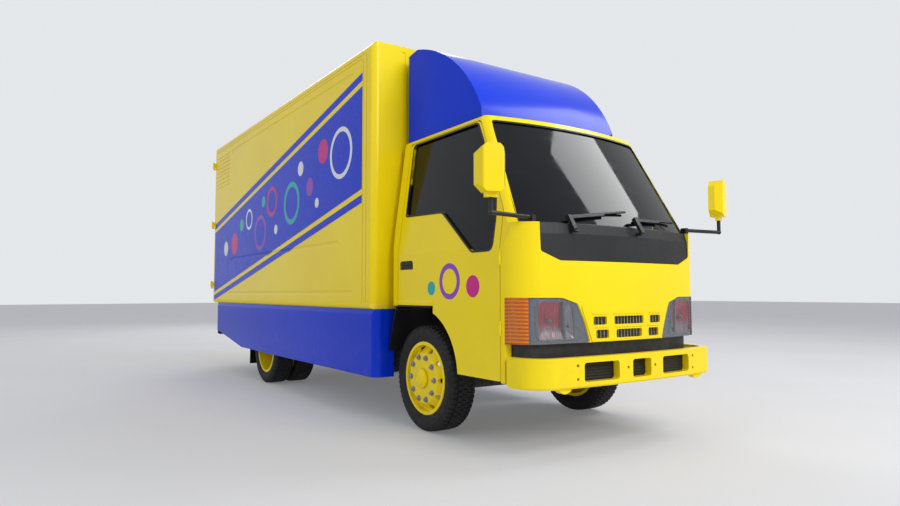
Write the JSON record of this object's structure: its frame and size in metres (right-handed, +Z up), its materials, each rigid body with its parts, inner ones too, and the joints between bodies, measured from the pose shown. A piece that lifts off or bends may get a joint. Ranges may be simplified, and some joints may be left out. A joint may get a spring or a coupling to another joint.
{
  "type": "delivery truck",
  "caption": "Cab-over delivery truck with a box body, roof air deflector, side skirts and steered front wheels; its cab doors and rear box doors swing.",
  "frame": {"origin": "on the ground at the middle of the truck's length and width", "axes": "-Y towards the front, +X to the truck's left, +Z up"},
  "size_m": [2.293, 6.33, 2.93],
  "materials": {
    "yellow_paint": "gloss",
    "blue_paint": "gloss",
    "chassis_black": "satin",
    "bare_steel": "satin",
    "cast_metal": "rough",
    "tank_metal": "satin",
    "tyre_rubber": "matte",
    "black_plastic": "satin",
    "dark_glass": "gloss",
    "mirror_glass": "polished",
    "clear_lamp": "gloss",
    "amber_lamp": "gloss",
    "red_lamp": "gloss",
    "seat_cloth": "woven",
    "floor_wood": "satin"
  },
  "bodies": {
    "truck_body": {"frame_rails": "chassis_black", "frame_crossmembers": "chassis_black", "front_axle": "cast_metal", "leaf_springs": "bare_steel", "rear_axle": "cast_metal", "drive_shaft": "bare_steel", "engine_block": "cast_metal", "fuel_tank": "tank_metal", "exhaust": "bare_steel", "rear_bumper": "chassis_black", "tail_lamps": "red_lamp", "cab_floor": "chassis_black", "cab_back_panel": "yellow_paint", "cab_roof": "yellow_paint", "screen_frame": "yellow_paint", "cab_front_panel": "yellow_paint", "cowl_panel": "black_plastic", "windscreen": "dark_glass", "dashboard": "black_plastic", "seats": "seat_cloth", "wipers": "black_plastic", "mirror_arms": "black_plastic", "mirror_heads": "yellow_paint", "mirror_glasses": "mirror_glass", "headlamps": "clear_lamp", "lamp_bowls": "tank_metal", "indicators": "amber_lamp", "grille": "yellow_paint", "front_bumper": "yellow_paint", "front_mudguards": "black_plastic", "roof_fairing": "blue_paint", "box_floor": "floor_wood", "box_front_wall": "yellow_paint", "box_sides": "yellow_paint", "box_roof": "yellow_paint", "rear_frame": "yellow_paint", "skirts": "blue_paint"},
    "knuckle_right_body": {"knuckle_right": "cast_metal"},
    "knuckle_left_body": {"knuckle_left": "cast_metal"},
    "tie_rod_body": {"tie_rod": "bare_steel"},
    "front_wheel_right": {"front_tyre_right": "tyre_rubber", "front_rim_right": "yellow_paint"},
    "front_wheel_left": {"front_tyre_left": "tyre_rubber", "front_rim_left": "yellow_paint"},
    "rear_wheels_right": {"rear_tyres_right": "tyre_rubber", "rear_rims_right": "yellow_paint"},
    "rear_wheels_left": {"rear_tyres_left": "tyre_rubber", "rear_rims_left": "yellow_paint"},
    "cab_door_right": {"door_right": "yellow_paint", "door_glass_right": "dark_glass", "door_handle_right": "black_plastic"},
    "cab_door_left": {"door_left": "yellow_paint", "door_glass_left": "dark_glass", "door_handle_left": "black_plastic"},
    "box_door_right": {"rear_door_right": "yellow_paint"},
    "box_door_left": {"rear_door_left": "yellow_paint"},
    "steering_wheel_body": {"steering_wheel": "black_plastic"}
  },
  "joints": [
    {"name": "steer_right", "type": "hinge", "parent": "truck_body", "child": "knuckle_right_body", "pos_m": [-0.648, -1.925, 0.37], "axis": [0, 0, 1], "range_deg": [-35, 35]},
    {"name": "steer_left", "type": "hinge", "parent": "truck_body", "child": "knuckle_left_body", "pos_m": [0.648, -1.925, 0.37], "axis": [0, 0, 1], "range_deg": [-35, 35]},
    {"name": "track_rod_swing", "type": "hinge", "parent": "knuckle_right_body", "child": "tie_rod_body", "pos_m": [-0.648, -1.775, 0.316], "axis": [0, 0, 1], "range_deg": [-35, 35]},
    {"name": "steering_column", "type": "hinge", "parent": "truck_body", "child": "steering_wheel_body", "pos_m": [0.38, -2.505, 1.46], "axis": [0, 0.6157, 0.788], "range_deg": [-281, 281]},
    {"name": "front_wheel_right_roll", "type": "hinge", "parent": "knuckle_right_body", "child": "front_wheel_right", "pos_m": [-0.723, -1.925, 0.37], "axis": [1, 0, 0], "continuous": true},
    {"name": "front_wheel_left_roll", "type": "hinge", "parent": "knuckle_left_body", "child": "front_wheel_left", "pos_m": [0.723, -1.925, 0.37], "axis": [1, 0, 0], "continuous": true},
    {"name": "rear_wheels_right_roll", "type": "hinge", "parent": "truck_body", "child": "rear_wheels_right", "pos_m": [-0.708, 1.139, 0.37], "axis": [1, 0, 0], "continuous": true},
    {"name": "rear_wheels_left_roll", "type": "hinge", "parent": "truck_body", "child": "rear_wheels_left", "pos_m": [0.708, 1.139, 0.37], "axis": [1, 0, 0], "continuous": true},
    {"name": "cab_door_right_hinge", "type": "hinge", "parent": "truck_body", "child": "cab_door_right", "pos_m": [-0.847, -2.818, 1], "axis": [0, 0, 1], "range_deg": [0, 70]},
    {"name": "cab_door_left_hinge", "type": "hinge", "parent": "truck_body", "child": "cab_door_left", "pos_m": [0.847, -2.818, 1], "axis": [0, 0, -1], "range_deg": [0, 70]},
    {"name": "box_door_right_hinge", "type": "hinge", "parent": "truck_body", "child": "box_door_right", "pos_m": [-1.003, 3.125, 1.88], "axis": [0, 0, 1], "range_deg": [0, 270]},
    {"name": "box_door_left_hinge", "type": "hinge", "parent": "truck_body", "child": "box_door_left", "pos_m": [1.003, 3.125, 1.88], "axis": [0, 0, -1], "range_deg": [0, 270]}
  ],
  "couplings": [
    {"joint": "steer_left", "follows": "steer_right", "ratio": 1},
    {"joint": "track_rod_swing", "follows": "steer_right", "ratio": -1},
    {"joint": "steering_column", "follows": "steer_right", "ratio": 8}
  ]
}
